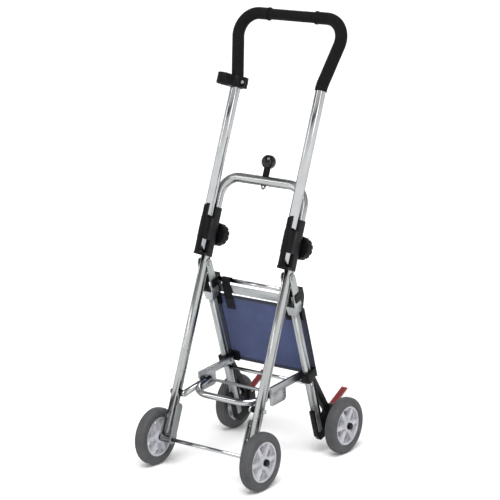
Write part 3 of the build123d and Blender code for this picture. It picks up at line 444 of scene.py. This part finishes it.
def edge_tape(name, route, inward, width, lift):
    """Binding tape folded over one edge of the cloth.

    route gives (across, down) for a share of the way, inward the step from the edge.
    """
    folds = ((1, lift), (0.75, lift * 1.15), (0.35, lift * 1.2), (0.04, lift),
             (-0.06, 0.0),
             (0.04, -lift), (0.35, -lift * 1.2), (0.75, -lift * 1.15), (1, -lift))
    inner = ((1, -0.3 * lift), (1, 0.3 * lift))
    points, uvs = [], []
    for station in range(tape_stations + 1):
        share = station / tape_stations
        across, down = route(share)
        for inset, height in folds + inner:
            step = inset * width
            place = panel_point(
                across + inward[0] * step / (2 * panel_half),
                down + inward[1] * step / panel_length,
                height,
            )
            points.append(place)
            uvs.append((share * panel_length, inset * width))
    around = len(folds) + len(inner)
    faces = tube_faces(tape_stations + 1, around)
    return add_mesh(name, points, faces, BINDING, REAR_BODY, uvs)


def stitch_row(name, places):
    """Short raised stitches; places are (point, direction, normal)."""
    points, faces, uvs = [], [], []
    around = 6
    radius = stitch_radius
    for point, direction, normal in places:
        aside = direction.cross(normal).normalized()
        offset = len(points)
        for share, size in ((-0.5, 0.35), (-0.32, 1.0), (0.32, 1.0), (0.5, 0.35)):
            sink = -0.55 * radius if abs(share) == 0.5 else 0.0
            middle = point + direction * (share * stitch_length) + normal * sink
            for step in range(around):
                turn = 2 * math.pi * step / around
                spoke = aside * math.cos(turn) + normal * math.sin(turn) * 0.7
                points.append(middle + spoke * radius * size)
                uvs.append((share * stitch_length, turn * radius))
        faces += tube_faces(4, around, offset)
    return add_mesh(name, points, faces, THREAD, REAR_BODY, uvs)


def tape_edges():
    return (
        ("binding_left", lambda t: (0, t), (1, 0), side_tape),
        ("binding_right", lambda t: (1, t), (-1, 0), side_tape),
        ("binding_top", lambda t: (t, 0), (0, 1), edge_tape_width),
        ("binding_bottom", lambda t: (t, 1), (0, -1), edge_tape_width),
    )


def build_binding():
    """Tape round the panel's edges, with a row of stitches on each face."""
    pieces = []
    for name, route, inward, width in tape_edges():
        lift = tape_lift * (1.25 if inward[0] else 1.0)
        pieces.append(edge_tape(name, route, inward, width, lift))
        run = panel_length if inward[0] else 2 * panel_half
        count = int(run / stitch_pitch)
        for side in (1, -1):
            places = []
            for index in range(count):
                across, down = route((index + 0.5) / count)
                step = stitch_place * width
                across += inward[0] * step / (2 * panel_half)
                down += inward[1] * step / panel_length
                point = panel_point(across, down, side * (lift * 1.12 + stitch_radius * 0.4))
                direction = leg_down if inward[0] else ACROSS
                places.append((point, direction, leg_back * -side))
            face = "front" if side == 1 else "rear"
            edge = name.replace("binding_", "")
            pieces.append(stitch_row(f"stitches_{edge}_{face}", places))
    return pieces


panel = build_panel()
panel_trim = build_binding()

# ---- webbing straps from the bag bar to the panel ---------------------------------
bar_low, bar_high = reach_of("bag_bar", hinge, leg_back)
bar_back = (bar_low + bar_high) / 2
bar_down = sum(reach_of("bag_bar", hinge, leg_down)) / 2
bar_radius = (bar_high - bar_low) / 2
strap_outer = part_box("panel_straps")[1][0]
strap_width = 22 * MM
strap_middle = strap_outer - strap_width / 2
strap_end = reach_of("panel_straps", hinge, leg_down)[1]
strap_thickness = 1.5 * MM
strap_gap = 0.35 * MM
strap_proud = 1.9 * MM             # strap in front of the binding
strap_start = math.radians(-60)    # round the bar, from behind it
strap_turn = math.radians(240)
strap_loop_steps = 14
strap_rows = 26
stitch_inset = 3 * MM
stitch_box = 24 * MM


def strap_route():
    """Middle line of a strap: (down, back) from behind the bar, over it and down."""
    loop = bar_radius + strap_gap + strap_thickness / 2
    front = panel_middle - tape_lift - strap_thickness * 0.5 - strap_proud
    route = []
    for step in range(strap_loop_steps + 1):
        turn = strap_start + strap_turn * step / strap_loop_steps
        route.append((bar_down - loop * math.sin(turn), bar_back + loop * math.cos(turn)))
    first = route[-1]
    for row in range(1, strap_rows + 1):
        share = row / strap_rows
        down = first[0] + (strap_end - first[0]) * share
        settle = min(share * 3.2, 1)
        ease = settle * settle * (3 - 2 * settle)
        back = first[1] + (front - first[1]) * ease
        route.append((down, back))
    return route


def build_strap(side, name):
    """Webbing of one thickness along the route, with thin edges."""
    route = strap_route()
    profile = ((-0.5, 0.30), (-0.44, 0.5), (0.44, 0.5), (0.5, 0.30),
               (0.5, -0.30), (0.44, -0.5), (-0.44, -0.5), (-0.5, -0.30))
    points, uvs = [], []
    travelled = 0.0
    for index, (down, back) in enumerate(route):
        before = route[max(index - 1, 0)]
        after = route[min(index + 1, len(route) - 1)]
        tangent = Vector((after[0] - before[0], after[1] - before[1])).normalized()
        normal = Vector((tangent.y, -tangent.x))
        travelled += math.hypot(down - before[0], back - before[1])
        for across, through in profile:
            shift = through * strap_thickness
            points.append(rear_point(
                side * strap_middle + across * strap_width,
                down + normal.x * shift, back + normal.y * shift,
            ))
            uvs.append((across * strap_width, travelled))
    faces = tube_faces(len(route), len(profile))
    return add_mesh(name, points, faces, WEBBING, REAR_BODY, uvs)


def build_strap_stitches(side, name):
    """Box of stitches that holds a strap to the panel."""
    front = strap_route()[-1][1] - strap_thickness / 2 - stitch_radius * 0.3
    box_top = strap_end - stitch_box
    box_bottom = strap_end - stitch_inset
    half = strap_width / 2 - stitch_inset
    corners = [(-half, box_top), (half, box_top), (half, box_bottom), (-half, box_bottom)]
    runs = list(zip(corners, corners[1:] + corners[:1]))
    runs += [(corners[0], corners[2]), (corners[1], corners[3])]
    places = []
    for (x0, d0), (x1, d1) in runs:
        length = math.hypot(x1 - x0, d1 - d0)
        count = int(length / stitch_pitch)
        direction = (ACROSS * (x1 - x0) + leg_down * (d1 - d0)).normalized()
        for index in range(count):
            share = (index + 0.5) / count
            point = rear_point(
                side * strap_middle + x0 + (x1 - x0) * share, d0 + (d1 - d0) * share, front
            )
            places.append((point, direction, -leg_back))
    return stitch_row(name, places)


straps = [build_strap(side, f"strap_{word}") for side, word in ((-1, "left"), (1, "right"))]
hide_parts("panel_straps")
for side, word in ((-1, "left"), (1, "right")):
    build_strap_stitches(side, f"strap_stitches_{word}")


# ---- tyres ------------------------------------------------------------------------
GROOVE_PLACES = (-0.40, 0.0, 0.40)     # shares of the tyre's half width
GROOVE_HALF = 0.055
GROOVE_DEPTH = 1.1 * MM
CROWN_STEPS = 40
CROWN_POWER = 0.62                     # under 1 is squarer than an ellipse
CROWN_SHARE = 0.72                     # of the tyre's height
TYRE_SEGMENTS = 96
TREAD_ANGLE = math.radians(50)


def tyre_profile(inner, outer, wall):
    """Closed outline of a tyre: (radius, across), with rounded shoulders and grooves."""
    crown = []
    for step in range(CROWN_STEPS + 1):
        share = -1 + 2 * step / CROWN_STEPS
        angle = share * math.pi / 2
        x = math.copysign(abs(math.sin(angle)) ** CROWN_POWER, share) * wall
        drop = 1 - abs(math.cos(angle)) ** CROWN_POWER
        radius = outer - drop * (outer - inner) * CROWN_SHARE
        in_groove = any(abs(x / wall - place) < GROOVE_HALF for place in GROOVE_PLACES)
        crown.append((radius - (GROOVE_DEPTH if in_groove else 0), x))
    bead = [
        (inner + 3.2 * MM, wall * 0.99), (inner + 2.4 * MM, wall * 0.93),
        (inner + 1.0 * MM, wall * 0.90), (inner + 0.1 * MM, wall * 0.84),
        (inner + 0.1 * MM, -wall * 0.84), (inner + 1.0 * MM, -wall * 0.90),
        (inner + 2.4 * MM, -wall * 0.93), (inner + 3.2 * MM, -wall * 0.99),
    ]
    return crown + bead


def build_tyre(node):
    """Treaded tyre in the CAD tyre's box, down to its hub."""
    low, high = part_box(node)
    middle = (Vector(low) + Vector(high)) / 2
    outer = (high[2] - low[2]) / 2
    half_width = (high[0] - low[0]) / 2
    hub_low, hub_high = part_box(node.replace("tyre_", "hub_"))
    inner = (hub_high[2] - hub_low[2]) / 2
    profile = tyre_profile(inner, outer, half_width)
    points = []
    for radius, across in profile:
        for step in range(TYRE_SEGMENTS):
            turn = 2 * math.pi * step / TYRE_SEGMENTS
            points.append(middle + Vector((
                across, radius * math.cos(turn), radius * math.sin(turn)
            )))
    name = node.replace("tyre_", "treaded_tyre_")
    body = node.replace("tyre_", "wheel_")
    faces = lathe_faces(len(profile), TYRE_SEGMENTS)
    piece = add_mesh(name, points, faces, TYRE_RUBBER, body)
    piece.data.set_sharp_from_angle(angle=TREAD_ANGLE)
    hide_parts(node)


for tyre_node in sorted(node for node in nodes if node.startswith("tyre_")):
    build_tyre(tyre_node)

# ---- floor, light and camera --------------------------------------------------------
FLOOR_HALF = 30.0
CAMERA_AZIMUTH = math.radians(36.166)
CAMERA_ELEVATION = math.radians(13.509)
CAMERA_DISTANCE = 4.1174
CAMERA_LENS = 139.0
TARGET_HEIGHT = 0.46599
TARGET_SHIFT = 0.0022


def build_floor():
    """Plain white paper floor, far wider than the view."""
    paint = Paint("floor_paper", (0.95, 0.95, 0.95), 0.9)
    paint.vary_color(paint.noise(0.8, 2.0), 0.01)
    mesh = bpy.data.meshes.new("floor")
    mesh.from_pydata(
        [(x * FLOOR_HALF, y * FLOOR_HALF, 0) for x, y in ((-1, -1), (1, -1), (1, 1), (-1, 1))],
        [], [(0, 1, 2, 3)],
    )
    mesh.materials.append(paint.material)
    floor = bpy.data.objects.new("floor", mesh)
    bpy.context.scene.collection.objects.link(floor)


def add_softbox(name, place, target, size, power):
    """Soft light from place that faces target."""
    data = bpy.data.lights.new(name, "AREA")
    data.shape = "RECTANGLE"
    data.size, data.size_y = size
    data.energy = power
    light = bpy.data.objects.new(name, data)
    light.location = place
    light.rotation_euler = (Vector(target) - Vector(place)).to_track_quat("-Z", "Y").to_euler()
    bpy.context.scene.collection.objects.link(light)


def add_sun(name, place, strength, spread):
    """Even light over the whole floor, from the direction of place."""
    data = bpy.data.lights.new(name, "SUN")
    data.energy = strength
    data.angle = math.radians(spread)
    light = bpy.data.objects.new(name, data)
    light.rotation_euler = Vector(place).to_track_quat("Z", "Y").to_euler()
    bpy.context.scene.collection.objects.link(light)


SKY_GREYS = (
    (0.0, 1.0), (0.17, 1.0), (0.20, 0.03), (0.27, 0.03), (0.31, 0.80), (0.55, 0.72), (0.85, 0.10),
)


def build_world():
    """Studio surround: bright walls with one dark line round them, greyer overhead."""
    world = bpy.data.worlds.new("studio")
    bpy.context.scene.world = world
    world.use_nodes = True
    tree = world.node_tree
    background = tree.nodes["Background"]
    coordinates = tree.nodes.new("ShaderNodeTexCoord")
    split = tree.nodes.new("ShaderNodeSeparateXYZ")
    ramp = tree.nodes.new("ShaderNodeValToRGB")
    elements = ramp.color_ramp.elements
    for place, grey in SKY_GREYS[1:-1]:
        elements.new(place)
    for element, (place, grey) in zip(elements, SKY_GREYS):
        element.position = place
        element.color = (grey, grey, grey, 1)
    tree.links.new(coordinates.outputs["Generated"], split.inputs["Vector"])
    tree.links.new(split.outputs["Z"], ramp.inputs["Fac"])
    tree.links.new(ramp.outputs["Color"], background.inputs["Color"])
    background.inputs["Strength"].default_value = 1.0


def build_camera():
    """Camera at the photograph's angle and distance."""
    right = Vector((math.cos(CAMERA_AZIMUTH), math.sin(CAMERA_AZIMUTH), 0))
    back = Vector((
        math.sin(CAMERA_AZIMUTH) * math.cos(CAMERA_ELEVATION),
        -math.cos(CAMERA_AZIMUTH) * math.cos(CAMERA_ELEVATION),
        math.sin(CAMERA_ELEVATION),
    ))
    target = right * TARGET_SHIFT + Vector((0, 0, TARGET_HEIGHT))
    data = bpy.data.cameras.new("camera")
    data.lens = CAMERA_LENS
    camera = bpy.data.objects.new("camera", data)
    up = back.cross(right).normalized()
    turn = Matrix((right, up, back)).transposed().to_4x4()
    camera.matrix_world = Matrix.Translation(target + back * CAMERA_DISTANCE) @ turn
    bpy.context.scene.collection.objects.link(camera)
    bpy.context.scene.camera = camera


build_floor()
build_world()
add_sun("even_light", (1.2, -2.0, 5.0), 3.1, 40)
add_softbox("key", (2.9, -1.6, 1.6), (0, 0, 0.5), (0.45, 2.6), 16)
add_softbox("fill", (-2.4, -2.6, 1.6), (0, 0, 0.5), (0.45, 2.6), 13)
add_softbox("rim", (-1.6, 3.0, 2.0), (0, 0, 0.6), (1.2, 1.8), 24)
build_camera()
bpy.context.scene.view_settings.view_transform = "Standard"
